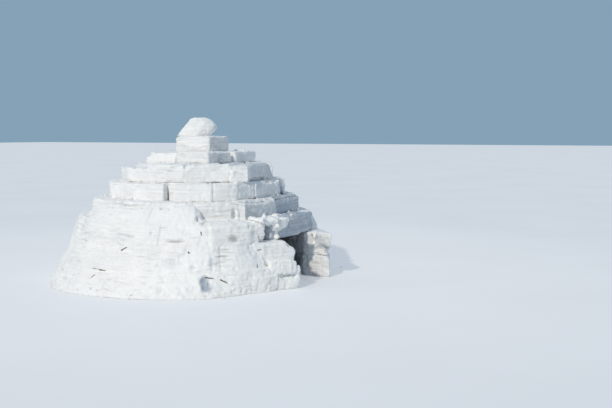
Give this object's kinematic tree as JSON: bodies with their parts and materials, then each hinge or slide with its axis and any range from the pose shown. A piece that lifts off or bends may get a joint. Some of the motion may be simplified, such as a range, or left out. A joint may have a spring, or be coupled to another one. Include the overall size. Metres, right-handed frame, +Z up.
{
  "type": "igloo",
  "caption": "Small stepped igloo of hand-cut snow blocks with a low crawl doorway, packed snow round its foot and a loose lump on top.",
  "frame": {"origin": "on the ground under the middle of the dome, which is the middle of the footprint", "axes": "+Z up; the doorway faces -Y; +X to the right of someone who looks along +Y into the doorway"},
  "size_m": [2.5692, 2.3291, 1.355],
  "materials": {
    "snow_block": "sawn and hand-trimmed wind-packed snow, matte, with fine strata and tool marks",
    "packed_snow": "hand-packed snow, matte, lumpy and smeared",
    "loose_snow": "broken lump of snow, matte, granular",
    "dry_stalks": "bits of dry grass and twig caught in the snow"
  },
  "bodies": {
    "root": {"base_course_back": "snow_block", "base_course_front": "snow_block", "base_course_left": "snow_block", "base_course_right": "snow_block", "cap_lump": "loose_snow", "closing_slab": "snow_block", "door_lintel": "snow_block", "far_jamb_base": "snow_block", "far_jamb_head": "snow_block", "fifth_course_back": "snow_block", "fifth_course_far_door": "snow_block", "fifth_course_front": "snow_block", "fifth_course_left": "snow_block", "fifth_course_near_door": "snow_block", "fifth_course_right": "snow_block", "fourth_course_back": "snow_block", "fourth_course_far_door": "snow_block", "fourth_course_front": "snow_block", "fourth_course_left": "snow_block", "fourth_course_near_door": "snow_block", "fourth_course_right": "snow_block", "near_jamb_base": "snow_block", "near_jamb_head": "snow_block", "packed_snow_back": "packed_snow", "packed_snow_far_back": "packed_snow", "packed_snow_front": "packed_snow", "packed_snow_left": "packed_snow", "packed_snow_right": "packed_snow", "second_course_back": "snow_block", "second_course_front": "snow_block", "second_course_left": "snow_block", "second_course_right": "snow_block", "seventh_course_far_back": "snow_block", "seventh_course_far_door": "snow_block", "seventh_course_near_back": "snow_block", "seventh_course_near_door": "snow_block", "sixth_course_back": "snow_block", "sixth_course_front": "snow_block", "sixth_course_over_door": "snow_block", "sixth_course_right": "snow_block", "third_course_back": "snow_block", "third_course_front": "snow_block", "third_course_left": "snow_block", "third_course_right": "snow_block"}
  },
  "joints": []
}
